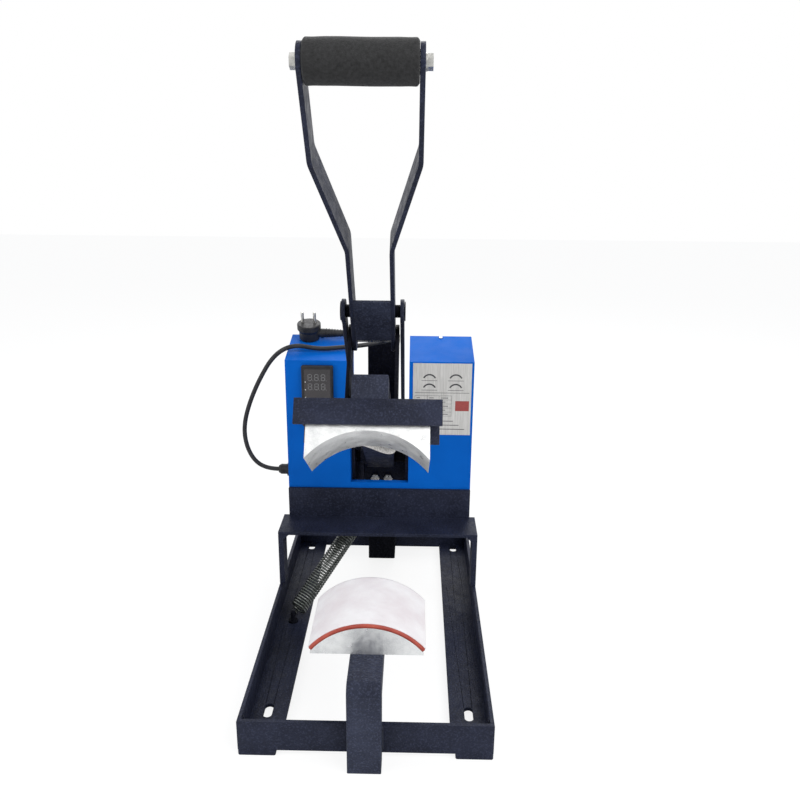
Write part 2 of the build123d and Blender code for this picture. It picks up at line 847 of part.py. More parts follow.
def return_spring():
    """Extension spring between the left rail and the beam's tail, as its outer sleeve."""
    low, high = spring_ends()
    axis = (high - low).normalized()
    hook = 10.0
    start = low + axis * hook
    length = (high - low).length - 2 * hook
    plane = Plane(origin=start, z_dir=axis)
    coil = plane * extrude(Circle(spring_d / 2) - Circle(spring_d / 2 - spring_wire_d), length)
    cap = plane * extrude(Circle(spring_d / 2 - 1), 2.5)
    far_cap = Plane(origin=start + axis * (length - 2.5), z_dir=axis) * extrude(Circle(spring_d / 2 - 1), 2.5)
    hooks = plane * Pos(0, 0, -hook + 5) * extrude(Circle(spring_wire_d / 2), hook - 4)
    far_face = Plane(origin=start + axis * (length - 1), z_dir=axis)
    far = far_face * extrude(Circle(spring_wire_d / 2), hook - 4.8)
    return coil + cap + far_cap + hooks + far


def spring_anchor():
    """Eye post on the left rail for the spring's lower hook."""
    z0 = foot_thickness + rail_wall
    post = rod_z(3.5, z0, spring_anchor_z + 7, spring_anchor_x, spring_anchor_y - 1)
    return post + rod_z(7.0, z0, z0 + 3, spring_anchor_x, spring_anchor_y - 1)


def front_bar():
    """Flat bar across the front ends of the rails."""
    return block(-half_base, half_base, 0, bar_wall, foot_thickness, rail_top_z)


def rear_bar():
    """Channel across the rear, whose inner web backs the column."""
    z0 = foot_thickness
    inner = half_base - rail_flange - 0.1
    between = half_base - rail_wall - 0.1
    y0, y1 = rear_bar_front_y, base_depth
    outer_web = block(-half_base, half_base, y1 - bar_wall, y1, z0, rail_top_z)
    floor = block(-inner, inner, y0, y1 - bar_wall, z0, z0 + rail_wall)
    inner_web = block(-between, between, y0, y0 + bar_wall, z0 + rail_wall, rail_top_z)
    return outer_web + floor + inner_web


def column():
    """Square tube standing against the rear bar, closed at the top."""
    half = column_side / 2
    y0, y1 = column_front_y, column_front_y + column_side
    tube = block(-half, half, y0, y1, foot_thickness, column_top_z)
    tube = fillet(tube.edges().filter_by(Axis.Z), 3.0)
    w = column_wall
    tube -= block(-half + w, half - w, y0 + w, y1 - w, foot_thickness - 1, column_top_z - w)
    for x, z in back_bolt_places():
        tube -= rod_y(4.0, y0 - 1, y0 + w + 1, x, z)
    return tube


def back_bolt_places():
    return [(x, z) for x in (-11, 11) for z in (back_plate_low_z + 14, back_plate_high_z - 12)]


def pivot_back_plate():
    """Plate on the column's face that the two pivot plates stand on."""
    x = pivot_plate_outer_x
    plate = block(-x, x, column_front_y - pivot_plate_wall, column_front_y,
                  back_plate_low_z, back_plate_high_z)
    for x0, x1 in ((-39, -31), (-29, -24.5), (24.5, 28.5), (31, 39)):
        plate -= block(x0, x1, column_front_y - 9, column_front_y + 1, 196, 204)
    for x, z in back_bolt_places():
        plate -= rod_y(4.0, column_front_y - 9, column_front_y + 1, x, z)
    return plate


def back_plate_bolts():
    """Four hexagon screws from the back plate into the column's wall."""
    bolts = []
    y = column_front_y - pivot_plate_wall
    outline = RegularPolygon(6.5, 6, major_radius=False)
    for x, z in back_bolt_places():
        head = Plane((x, y, z), x_dir=(1, 0, 0), z_dir=(0, -1, 0)) * extrude(outline, 5)
        bolts.append(head + rod_y(4.0, y, column_front_y + column_wall + 4, x, z))
    return bolts


def pivot_plates():
    """Cheeks either side of the beam's rear end, carrying its pivot and the links'."""
    y1 = column_front_y - pivot_plate_wall
    y0 = pivot_plate_front_y
    top = back_plate_high_z
    points = [(y0, shelf_top_z - 3), (y0, top - 12), (y0 + 12, top), (y1, top), (y1, shelf_top_z - 3)]
    x1 = pivot_plate_outer_x
    x0 = x1 - pivot_plate_wall
    right = side_profile(points, x0, x1)
    right -= rod_x(pivot_pin_d / 2, x0 - 1, x1 + 1, pivot_y, pivot_z)
    right -= rod_x(link_pin_d / 2, x0 - 1, x1 + 1, *link_pivot)
    return [right, mirrored(right)]


def beam_pivot_pin():
    return rod_x(pivot_pin_d / 2, -pivot_plate_outer_x, pivot_plate_outer_x, pivot_y, pivot_z)


def pivot_spacers():
    """Bushes that centre the beam between the pivot plates."""
    inner = pivot_plate_outer_x - pivot_plate_wall
    right = rod_x(10, beam_width / 2 + 0.2, inner, pivot_y, pivot_z)
    left = rod_x(10, -inner, -tail_outer_x - 0.2, pivot_y, pivot_z)
    bore = rod_x(pivot_pin_d / 2, -60, 60, pivot_y, pivot_z)
    return [right - bore, left - bore]


def link_pivot_pins():
    """Short pin through each pivot plate with a clip that keeps the link on."""
    pins = []
    for side in (-1, 1):
        x0, x1 = side * (link_inner_x - 0.8), side * pivot_plate_outer_x
        pin = rod_x(link_pin_d / 2, x0, x1, *link_pivot)
        pins.append(pin + rod_x(8.0, x0, x0 + side * 0.6, *link_pivot))
    return pins


def housing_box(side):
    """Folded sheet box on one side of the gap, open at its rear and floor."""
    x0, x1 = notch_width / 2, housing_width / 2
    box = side_profile(housing_profile(0, housing_rear_y), x0, x1)
    box -= side_profile(housing_profile(housing_wall, housing_rear_y + 1), x0 + housing_wall, x1 - housing_wall)
    if side < 0:
        box = mirrored(box)
        w, h = controller_body_width / 2, controller_body_height / 2
        x, z = controller_x, controller_z
        box -= block(x - w, x + w, housing_front_y - 1, housing_front_y + 3, z - h, z + h)
        box -= rod_x(6.0, -x1 - 1, -x1 + housing_wall + 1, gland_y, gland_z)
    return box


def housing_sill():
    """Sheet strip closing the gap between the boxes behind the shelf's upstand."""
    half = notch_width / 2
    y0 = housing_front_y
    face = block(-half, half, y0, y0 + housing_wall, shelf_top_z, notch_sill_z)
    lip = block(-half, half, y0, y0 + 10, notch_sill_z - housing_wall, notch_sill_z)
    return face + lip


def housing_trays():
    """Floor plate of each box, butted against the shelf."""
    x0, x1 = notch_width / 2, housing_width / 2
    tray = block(x0, x1, housing_front_y, housing_rear_y, shelf_top_z - 3, shelf_top_z)
    return [tray, mirrored(tray)]


def flat_link(p0, r0, p1, r1, half, x0, x1):
    """Flat bar between two (y, z) points with a round eye at each end."""
    dy, dz = p1[0] - p0[0], p1[1] - p0[1]
    length = hypot(dy, dz)
    ny, nz = -dz / length * half, dy / length * half
    points = [
        (p0[0] + ny, p0[1] + nz),
        (p1[0] + ny, p1[1] + nz),
        (p1[0] - ny, p1[1] - nz),
        (p0[0] - ny, p0[1] - nz),
    ]
    return side_profile(points, x0, x1) + rod_x(r0, x0, x1, *p0) + rod_x(r1, x0, x1, *p1)


def bracket_plates():
    """Side plates on the channel that carry the handle's pivot."""
    z0 = beam_bottom_z
    y, z = handle_pivot_y, handle_pivot_z
    r = bracket_eye_r
    points = [(bracket_front_y, z0), (y - r, z), (y + r, z), (bracket_rear_y, z0)]
    x0 = bracket_inner_x
    right = side_profile(points, x0, x0 + bracket_wall) + rod_x(r, x0, x0 + bracket_wall, y, z)
    right -= rod_x(handle_pin_d / 2, x0 - 1, x0 + bracket_wall + 1, y, z)
    foot = block(beam_width / 2, x0, bracket_front_y, bracket_rear_y, z0, z0 + 4)
    right += foot
    return [opened(right), opened(mirrored(right))]


def handle_pivot_pin():
    """Plain pin through both bracket plates and both arms."""
    x = bracket_inner_x + bracket_wall + 0.8
    return opened(rod_x(handle_pin_d / 2, -x, x, handle_pivot_y, handle_pivot_z))


def link_bolt():
    """Bolt through both arms with the spacers and washers that hold the links."""
    arm_face = arm_gap / 2 + arm_thickness
    outer = link_inner_x + link_wall + 0.3
    shape = rod_x(link_pin_d / 2, -outer - 1.2, outer + 1.2, 0, link_lever)
    for side in (-1, 1):
        shape += rod_x(8.0, side * arm_face, side * (link_inner_x - 0.3), 0, link_lever)
        shape += rod_x(12.0, side * outer, side * (outer + 1.2), 0, link_lever)
    return on_handle(shape)


def link_plates():
    """Outer links from the pivot plates to the handle; the upper eyes are loose."""
    x0, x1 = link_inner_x, link_inner_x + link_wall
    right = flat_link(link_pivot, link_eye_r, pin_open, link_loose_r + 6.4, link_width / 2, x0, x1)
    right -= rod_x(link_pin_d / 2 + running_clearance, x0 - 1, x1 + 1, *link_pivot)
    right -= rod_x(link_loose_r, x0 - 1, x1 + 1, *pin_open)
    return [right, mirrored(right)]


# ---------------------------------------------------------------- output
def build_nodes():
    nodes = {
        "rails": [rail(-1), rail(1)],
        "front_bar": front_bar(),
        "rear_bar": rear_bar(),
        "foot_pads": foot_pads(),
        "front_post": front_post(),
        "lower_platen": lower_platen(),
        "lower_platen_bolts": lower_platen_bolts(),
        "silicone_pad": silicone_pad(),
        "pad_cover": pad_cover(),
        "legs": [leg(-1), leg(1)],
        "shelf_angle": shelf_angle(),
        "column": column(),
        "pivot_back_plate": pivot_back_plate(),
        "back_plate_bolts": back_plate_bolts(),
        "pivot_plates": pivot_plates(),
        "beam_pivot_pin": beam_pivot_pin(),
        "pivot_spacers": pivot_spacers(),
        "link_pivot_pins": link_pivot_pins(),
        "housing_left": housing_box(-1),
        "housing_right": housing_box(1),
        "housing_sill": housing_sill(),
        "housing_trays": housing_trays(),
        "back_panels": [rear_cover(-1), rear_cover(1)],
        "housing_screws": cover_screws() + top_screws(),
        "controller_body": controller_body(),
        "controller_bezel": controller_bezel(),
        "display_window": display_window(),
        "label_plate": label_plate(),
        "relay": relay(),
        "terminal_block": terminal_block(),
        "cable_gland": cable_gland(),
        "power_cord": cord_tube(cord_route(), cord_d, "cord"),
        "plug_body": plug_body(),
        "plug_pins": plug_pins(),
        "return_spring": return_spring(),
        "spring_anchor": spring_anchor(),
        "beam": beam_tube(),
        "tail_lever": tail_lever(),
        "spring_pin": spring_pin(),
        "platen_channel": platen_channel(),
        "insulation_block": insulation_block(),
        "upper_platen": upper_platen(),
        "cartridge_heaters": cartridge_heaters(),
        "thermocouple": thermocouple(),
        "platen_bolts": platen_bolts(),
        "heater_lead": heater_lead(),
        "bracket_plates": bracket_plates(),
        "handle_pivot_pin": handle_pivot_pin(),
        "left_arm": arm(-1),
        "right_arm": arm(1),
        "cross_plate": cross_plate(),
        "grip_tube": grip_tube(),
        "foam_grip": foam_grip(),
        "grip_bolts": grip_bolts(),
        "link_bolt": link_bolt(),
        "link_plates": link_plates(),
    }
    return nodes


os.makedirs("parts", exist_ok=True)
to_centre = Pos(0, -(base_depth - post_depth) / 2, 0)
all_nodes = build_nodes()
for index in range(key_count):
    all_nodes[f"key_{index + 1}"] = key(index)
for name, shape in all_nodes.items():
    solid = Compound(children=shape) if isinstance(shape, list) else shape
    export_step(to_centre * solid, f"parts/{name}.step")
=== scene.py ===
import math
import random
import bpy
import bmesh
from mathutils import Matrix, Vector


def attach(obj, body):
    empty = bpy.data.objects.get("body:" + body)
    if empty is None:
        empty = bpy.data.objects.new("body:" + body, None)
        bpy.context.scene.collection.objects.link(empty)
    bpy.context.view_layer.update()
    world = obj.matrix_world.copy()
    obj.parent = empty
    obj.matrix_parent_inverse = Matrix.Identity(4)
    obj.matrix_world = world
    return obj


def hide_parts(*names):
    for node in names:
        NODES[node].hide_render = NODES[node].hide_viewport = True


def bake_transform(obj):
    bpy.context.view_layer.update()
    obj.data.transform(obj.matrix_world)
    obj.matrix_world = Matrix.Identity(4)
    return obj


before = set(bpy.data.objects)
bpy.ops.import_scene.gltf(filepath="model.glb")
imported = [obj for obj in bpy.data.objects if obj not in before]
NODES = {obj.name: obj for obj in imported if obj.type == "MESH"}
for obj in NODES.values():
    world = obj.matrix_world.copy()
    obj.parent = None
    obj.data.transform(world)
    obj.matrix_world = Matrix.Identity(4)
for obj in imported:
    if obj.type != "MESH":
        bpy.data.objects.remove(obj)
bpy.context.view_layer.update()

SHIFT = 0.272            # metres from the front bar's face to the frame's origin
random.seed(7)

# Sizes in millimetres, with depths measured from the front bar's face.
PIVOT_Y, PIVOT_Z = 440, 215
OPEN_ANGLE = 33          # degrees, beam raised at rest
HANDLE_PIVOT_Y, HANDLE_PIVOT_Z = 128.7, 306.3     # with the beam down
HANDLE_LEAN = 36.2       # degrees, handle leaning back at rest
PLATEN_FRONT = 36
LOWER_PLATEN_REAR = 146
UPPER_PLATEN_REAR = 116
PRESS_RADIUS = 92
HALF_PLATEN = 71
PLATEN_SEAT_Z = 118
LOWER_EDGE = 8
HOUSING_FRONT = 378
HOUSING_TOP = 391
HOUSING_DEPTH = 86
HOUSING_RISE = 20.4
BEZEL_DEPTH = 7
KEY_PROUD = 1.2
LABEL_THICKNESS = 0.5
GRIP_HEIGHT = 0.380      # metres, along the handle
SPRING_LOW = (-125, 265, 22.5)
SPRING_HIGH = (-36.5, 390, 120)
PLUG_PLACE_X, PLUG_PLACE_Y = -114, 450


def at(x, y, z):
    """A point in millimetres from the front bar, as metres in the row frame."""
    return Vector((x / 1000, y / 1000 - SHIFT, z / 1000))


# ------------------------------------------------------------------ materials
class Maker:
    """A Principled material with short calls for the textures that feed it."""

    def __init__(self, name, colour, rough, metal=0.0, **sockets):
        self.mat = bpy.data.materials.new(name)
        self.mat.use_nodes = True
        self.tree = self.mat.node_tree
        self.bsdf = self.tree.nodes["Principled BSDF"]
        self.bsdf.inputs["Base Color"].default_value = (*colour, 1)
        self.bsdf.inputs["Roughness"].default_value = rough
        self.bsdf.inputs["Metallic"].default_value = metal
        for key, value in sockets.items():
            self.bsdf.inputs[key.replace("_", " ")].default_value = value
        self.coords = self.add("ShaderNodeTexCoord")
        self.height = None

    def add(self, kind, **values):
        node = self.tree.nodes.new(kind)
        for key, value in values.items():
            if hasattr(node, key):
                setattr(node, key, value)
            else:
                node.inputs[key].default_value = value
        return node

    def link(self, a, b):
        self.tree.links.new(a, b)

    def space(self, scale=(1, 1, 1), turn=(0, 0, 0), uv=False):
        node = self.add("ShaderNodeMapping")
        node.inputs["Scale"].default_value = scale
        node.inputs["Rotation"].default_value = turn
        self.link(self.coords.outputs["UV" if uv else "Object"], node.inputs["Vector"])
        return node.outputs["Vector"]

    def noise(self, scale, detail=3.0, rough=0.5, stretch=(1, 1, 1), turn=(0, 0, 0)):
        node = self.add("ShaderNodeTexNoise", Scale=scale, Detail=detail, Roughness=rough)
        self.link(self.space(stretch, turn), node.inputs["Vector"])
        return node.outputs["Fac"]

    def cells(self, scale, feature="SMOOTH_F1"):
        node = self.add("ShaderNodeTexVoronoi", feature=feature, Scale=scale)
        self.link(self.space(), node.inputs["Vector"])
        return node.outputs["Distance"]

    def bands(self, scale, axis="X", uv=True, distort=0.0):
        node = self.add("ShaderNodeTexWave", bands_direction=axis, Scale=scale, Distortion=distort)
        self.link(self.space(uv=uv), node.inputs["Vector"])
        return node.outputs["Fac"]

    def ramp(self, value, stops):
        node = self.add("ShaderNodeValToRGB")
        band = node.color_ramp
        while len(band.elements) < len(stops):
            band.elements.new(0.5)
        for element, (place, colour) in zip(band.elements, stops):
            element.position = place
            grey = (colour,) * 3 if isinstance(colour, (int, float)) else colour
            element.color = (*grey, 1)
        self.link(value, node.inputs["Fac"])
        return node.outputs["Color"]

    def mix(self, factor, a, b, mode="MIX"):
        node = self.add("ShaderNodeMix", data_type="RGBA", blend_type=mode)
        for socket, value in ((node.inputs[0], factor), (node.inputs[6], a), (node.inputs[7], b)):
            if isinstance(value, tuple):
                socket.default_value = (*value, 1)
            elif isinstance(value, (int, float)):
                socket.default_value = value
            else:
                self.link(value, socket)
        return node.outputs[2]

    def colour(self, output):
        self.link(output, self.bsdf.inputs["Base Color"])

    def rough(self, output):
        self.link(output, self.bsdf.inputs["Roughness"])

    def bump(self, output, distance, strength=1.0):
        node = self.add("ShaderNodeBump", Distance=distance, Strength=strength)
        self.link(output, node.inputs["Height"])
        if self.height is not None:
            self.link(self.height, node.inputs["Normal"])
        self.height = node.outputs["Normal"]
        self.link(self.height, self.bsdf.inputs["Normal"])


def paint(name, deep, light, grain, depth, rough, shine=0.14):
    """Baked enamel over rough steel: clumps, slow shade changes and pale scuffs."""
    m = Maker(name, deep, rough, Specular_IOR_Level=shine)
    shade = m.ramp(m.noise(22, 4), [(0.3, deep), (0.72, light)])
    specks = m.ramp(m.noise(420, 2, 0.7), [(0.5, 0.0), (0.68, 0.55)])
    pale = tuple(min(1, c * 1.9 + 0.008) for c in light)
    mixed = m.mix(specks, shade, pale)
    scuffs = m.ramp(m.noise(60, 6, 0.75, (1, 0.3, 1)), [(0.66, 0.0), (0.72, 0.5)])
    m.colour(m.mix(scuffs, mixed, (0.1, 0.1, 0.11)))
    m.rough(m.ramp(m.noise(90, 3), [(0.3, rough - 0.08), (0.7, rough + 0.14)]))
    m.bump(m.cells(grain), depth)
    m.bump(m.noise(grain * 3, 2), depth * 0.25)
    return m.mat


def make_materials():
    mats = {}
    mats["hammer"] = paint("hammer_enamel", (0.012, 0.014, 0.026), (0.034, 0.04, 0.068), 330, 0.0009, 0.42)
    mats["frame"] = paint("frame_enamel", (0.009, 0.011, 0.022), (0.02, 0.024, 0.046), 520, 0.0004, 0.4)
    # Painted shade: a near-black copy of the frame enamel, darker than the frame's own paint, for parts that
    # sit in shade in the gap behind the beam.
    shaded_deep, shaded_light = (0.002, 0.0022, 0.004), (0.006, 0.0065, 0.011)
    mats["dark"] = paint("shade_darkened_enamel", shaded_deep, shaded_light, 700, 0.0003, 0.5, 0.05)

    m = Maker("blue_powder_coat", (0.001, 0.12, 0.56), 0.45, Specular_IOR_Level=0.05)
    tone = m.ramp(m.noise(9, 4), [(0.3, (0.001, 0.1, 0.47)), (0.7, (0.002, 0.135, 0.6))])
    rubs = m.ramp(m.noise(55, 6, 0.8, (1, 1, 0.2)), [(0.68, 0.0), (0.78, 0.35)])
    m.colour(m.mix(rubs, tone, (0.02, 0.19, 0.6)))
    m.rough(m.ramp(m.noise(40, 4), [(0.3, 0.38), (0.7, 0.54)]))
    m.bump(m.noise(700, 2), 0.00022)
    mats["blue"] = m.mat

    m = Maker("machined_aluminium", (0.8, 0.81, 0.81), 0.4, 0.8)
    lines = m.noise(60, 4, 0.6, (14, 0.8, 14))
    blotch = m.ramp(m.noise(45, 5, 0.7), [(0.35, (0.62, 0.63, 0.63)), (0.62, (0.84, 0.85, 0.84))])
    m.colour(m.mix(m.ramp(lines, [(0.35, 0.0), (0.7, 0.5)]), blotch, (0.9, 0.9, 0.9)))
    m.rough(m.ramp(m.noise(120, 4), [(0.3, 0.26), (0.7, 0.5)]))
    m.bump(lines, 0.00012)
    mats["aluminium"] = m.mat

    m = Maker("zinc_plate", (0.6, 0.6, 0.58), 0.3, 1.0)
    m.colour(m.ramp(m.noise(160, 4), [(0.3, (0.42, 0.42, 0.4)), (0.7, (0.7, 0.69, 0.66))]))
    m.rough(m.ramp(m.noise(240, 3), [(0.3, 0.2), (0.7, 0.45)]))
    m.bump(m.noise(900, 2), 0.00006)
    mats["zinc"] = m.mat

    m = Maker("spring_steel", (0.1, 0.105, 0.1), 0.3, 0.85)
    m.colour(m.ramp(m.noise(120, 4), [(0.35, (0.07, 0.08, 0.072)), (0.7, (0.2, 0.21, 0.2))]))
    m.bump(m.noise(800, 2), 0.00005)
    mats["spring"] = m.mat

    m = Maker("red_silicone", (0.42, 0.06, 0.035), 0.5, Subsurface_Weight=0.08)
    m.colour(m.ramp(m.noise(70, 4), [(0.3, (0.34, 0.04, 0.024)), (0.7, (0.5, 0.085, 0.05))]))
    m.bump(m.noise(900, 3), 0.00012)
    mats["silicone"] = m.mat

    m = Maker("cover_cloth", (0.83, 0.79, 0.8), 0.85, Sheen_Weight=0.25, Sheen_Roughness=0.5)
    warp, weft = m.bands(330, "X"), m.bands(330, "Y")
    weave = m.mix(0.5, warp, weft)
    tone = m.ramp(m.noise(30, 4), [(0.32, (0.82, 0.76, 0.78)), (0.66, (0.93, 0.91, 0.92))])
    m.colour(m.mix(m.ramp(weave, [(0.2, 0.18), (0.6, 0.0)]), tone, (0.68, 0.61, 0.63)))
    m.bump(weave, 0.0002)
    m.bump(m.noise(60, 4), 0.0008)
    mats["cloth"] = m.mat

    m = Maker("black_foam", (0.02, 0.02, 0.02), 0.75, Specular_IOR_Level=0.22, Sheen_Weight=0.08)
    m.colour(m.ramp(m.noise(300, 4, 0.7), [(0.3, (0.012, 0.012, 0.012)), (0.7, (0.032, 0.032, 0.033))]))
    m.bump(m.cells(1300), 0.00035)
    m.bump(m.noise(90, 3), 0.0004)
    mats["foam"] = m.mat

    m = Maker("fibre_board", (0.5, 0.46, 0.4), 0.85)
    fibres = m.noise(120, 6, 0.7, (0.2, 0.2, 2.5))
    m.colour(m.ramp(fibres, [(0.3, (0.36, 0.33, 0.28)), (0.7, (0.6, 0.57, 0.5))]))
    m.bump(m.noise(400, 4), 0.0003)
    mats["board"] = m.mat

    m = Maker("black_plastic", (0.02, 0.02, 0.022), 0.42, Specular_IOR_Level=0.25)
    m.colour(m.ramp(m.noise(80, 4), [(0.3, (0.013, 0.013, 0.015)), (0.7, (0.03, 0.03, 0.033))]))
    m.rough(m.ramp(m.noise(150, 4), [(0.3, 0.34), (0.7, 0.55)]))
    m.bump(m.noise(1600, 2), 0.00009)
    mats["plastic"] = m.mat

    m = Maker("display_tint", (0.02, 0.014, 0.018), 0.09, Coat_Weight=0.4)
    m.colour(m.ramp(m.noise(18, 3), [(0.3, (0.012, 0.009, 0.012)), (0.7, (0.03, 0.02, 0.026))]))
    m.rough(m.ramp(m.noise(300, 4), [(0.4, 0.06), (0.7, 0.18)]))
    mats["display"] = m.mat

    m = Maker("key_cap", (0.06, 0.06, 0.065), 0.5)
    m.colour(m.ramp(m.noise(300, 3), [(0.3, (0.045, 0.045, 0.05)), (0.7, (0.08, 0.08, 0.085))]))
    m.bump(m.noise(1800, 2), 0.00006)
    mats["key"] = m.mat

    m = Maker("label_foil", (0.58, 0.57, 0.55), 0.4, 0.25)
    streaks = m.noise(90, 4, 0.6, (12, 1, 0.5))
    m.colour(m.ramp(streaks, [(0.3, (0.48, 0.47, 0.45)), (0.7, (0.68, 0.67, 0.65))]))
    m.rough(m.ramp(m.noise(70, 4), [(0.3, 0.28), (0.7, 0.5)]))
    mats["foil"] = m.mat

    for name, colour in (("label_ink", (0.03, 0.03, 0.035)), ("label_red", (0.28, 0.045, 0.04)),
                         ("digit_grey", (0.16, 0.16, 0.165)), ("mark_white", (0.6, 0.6, 0.6))):
        m = Maker(name, colour, 0.5)
        lighter = tuple(c * 1.35 for c in colour)
        m.colour(m.ramp(m.noise(500, 3), [(0.3, colour), (0.75, lighter)]))
        mats[name] = m.mat

    m = Maker("cord_rubber", (0.018, 0.018, 0.02), 0.44, Specular_IOR_Level=0.3)
    m.colour(m.ramp(m.noise(70, 4), [(0.3, (0.012, 0.012, 0.014)), (0.7, (0.03, 0.03, 0.033))]))
    m.rough(m.ramp(m.noise(200, 3), [(0.3, 0.34), (0.7, 0.56)]))
    m.bump(m.noise(900, 2), 0.00008)
    mats["cord"] = m.mat

    m = Maker("braided_sleeve", (0.74, 0.72, 0.68), 0.75, Sheen_Weight=0.2)
    braid = m.noise(520, 2, 0.6, (1, 1, 1), (0.6, 0.4, 0))
    m.colour(m.ramp(braid, [(0.35, (0.45, 0.43, 0.4)), (0.62, (0.76, 0.74, 0.71))]))
    m.bump(braid, 0.0004)
    mats["sleeve"] = m.mat

    m = Maker("weld_bead", (0.014, 0.016, 0.026), 0.4, Specular_IOR_Level=0.2)
    m.colour(m.ramp(m.noise(260, 4), [(0.3, (0.01, 0.011, 0.018)), (0.7, (0.028, 0.032, 0.05))]))
    m.bump(m.noise(700, 3), 0.0003)
    mats["weld"] = m.mat
    return mats


MATS = make_materials()

LOOKS = {
    "frame": "rails front_bar rear_bar foot_pads legs shelf_angle housing_trays link_plates "
             "pivot_plates pivot_back_plate tail_lever left_arm right_arm platen_channel",
    # these parts take the near-black enamel, whose extra darkness is painted shade
    "dark": "column bracket_plates link_bolt pivot_spacers beam_pivot_pin spring_anchor link_pivot_pins",
    "hammer": "front_post cross_plate beam",
    "blue": "housing_left housing_right housing_sill back_panels",
    "aluminium": "lower_platen upper_platen",
    "zinc": "lower_platen_bolts back_plate_bolts "
            "housing_screws plug_pins spring_pin cartridge_heaters thermocouple "
            "platen_bolts handle_pivot_pin grip_tube grip_bolts",
    "board": "insulation_block",
    "plastic": "controller_body controller_bezel relay terminal_block cable_gland",
    "display": "display_window",
    "key": "key_1 key_2 key_3 key_4",
    "foil": "label_plate",
    "cord": "plug_body",
}


def dress_nodes():
    """Give each CAD node its material, and a small round on the painted steel's edges."""
    for look, names in LOOKS.items():
        for name in names.split():
            node = NODES[name]
            node.data.materials.clear()
            node.data.materials.append(MATS[look])
            if look in ("frame", "dark", "hammer", "blue", "aluminium", "board", "foil"):
                weld = node.modifiers.new("weld", "WELD")
                weld.merge_threshold = 0.00002
                edge = node.modifiers.new("edge", "BEVEL")
                edge.width = 0.0003 if look in ("blue", "foil") else 0.0006
                edge.segments = 2
                edge.limit_method = "ANGLE"
                edge.angle_limit = math.radians(50)
                edge.harden_normals = False


dress_nodes()


# ------------------------------------------------------------------ mesh helpers
def piece(name, verts, faces, look, body, smooth=True):
    mesh = bpy.data.meshes.new(name)
    mesh.from_pydata([tuple(v) for v in verts], [], faces)
    mesh.validate()
    mesh.update()
    obj = bpy.data.objects.new(name, mesh)
    bpy.context.scene.collection.objects.link(obj)
    mesh.materials.append(MATS[look])
    for face in mesh.polygons:
        face.use_smooth = smooth
    if body:
        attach(obj, body)
    return obj


def tube_data(path, radius, sides=10):
    """Vertices and faces of a tube along path; radius is a number or a list."""
    verts, faces = [], []
    count = len(path)
    normal = None
    for i, point in enumerate(path):
        ahead = path[min(i + 1, count - 1)] - path[max(i - 1, 0)]
        ahead.normalize()
        if normal is None:
            helper = Vector((0, 0, 1)) if abs(ahead.z) < 0.9 else Vector((1, 0, 0))
            normal = ahead.cross(helper).normalized()
        normal = (normal - ahead * normal.dot(ahead)).normalized()
        side = ahead.cross(normal)
        r = radius[i] if isinstance(radius, list) else radius
        for k in range(sides):
            a = 2 * math.pi * k / sides
            verts.append(point + (normal * math.cos(a) + side * math.sin(a)) * r)
    for i in range(count - 1):
        for k in range(sides):
            a, b = i * sides + k, i * sides + (k + 1) % sides
            faces.append((a, b, b + sides, a + sides))
    faces.append(tuple(reversed(range(sides))))
    faces.append(tuple(range((count - 1) * sides, count * sides)))
    return verts, faces


def join_data(parts):
    verts, faces = [], []
    for more_verts, more_faces in parts:
        start = len(verts)
        verts += more_verts
        faces += [tuple(i + start for i in face) for face in more_faces]
    return verts, faces


def slab(x0, x1, z0, z1, y0, y1):
    """Block between two corners, given in millimetres."""
    verts = [at(x, y, z) for y in (y0, y1) for z in (z0, z1) for x in (x0, x1)]
    faces = [(0, 1, 3, 2), (4, 6, 7, 5), (0, 4, 5, 1), (2, 3, 7, 6), (0, 2, 6, 4), (1, 5, 7, 3)]
    return verts, faces


def turned(degrees):
    return Matrix.Rotation(math.radians(degrees), 4, "X")


PIVOT = at(0, PIVOT_Y, PIVOT_Z)
OPEN_TURN = Matrix.Translation(PIVOT) @ turned(-OPEN_ANGLE) @ Matrix.Translation(-PIVOT)
HANDLE = OPEN_TURN @ at(0, HANDLE_PIVOT_Y, HANDLE_PIVOT_Z)
LEAN = Matrix.Translation(HANDLE) @ turned(HANDLE_LEAN)


# ------------------------------------------------------------------ cords
def route_curve(name, points, diameter, look):
    curve = bpy.data.curves.new(name, "CURVE")
    curve.dimensions = "3D"
    line = curve.splines.new("NURBS")
    line.points.add(len(points) - 1)
    for place, point in zip(line.points, points):
        place.co = (*point, 1)
    line.order_u = 3
    line.use_endpoint_u = True
    line.resolution_u = 10
    curve.bevel_depth = diameter / 2
    curve.bevel_resolution = 5
    curve.use_fill_caps = True
    obj = bpy.data.objects.new(name, curve)
    bpy.context.scene.collection.objects.link(obj)
    curve.materials.append(MATS[look])
    return obj


PLUG_TURN = math.atan2(HOUSING_RISE, HOUSING_DEPTH)
PLUG_BASE_Z = HOUSING_TOP + (PLUG_PLACE_Y - HOUSING_FRONT) * HOUSING_RISE / HOUSING_DEPTH + 0.4
PLUG_BASE = Matrix.Translation(at(PLUG_PLACE_X, PLUG_PLACE_Y, PLUG_BASE_Z))
PLUG_SEAT = PLUG_BASE @ Matrix.Rotation(PLUG_TURN, 4, "X")
PLUG_TIP = PLUG_SEAT @ Vector((0.061, 0, 0.010))


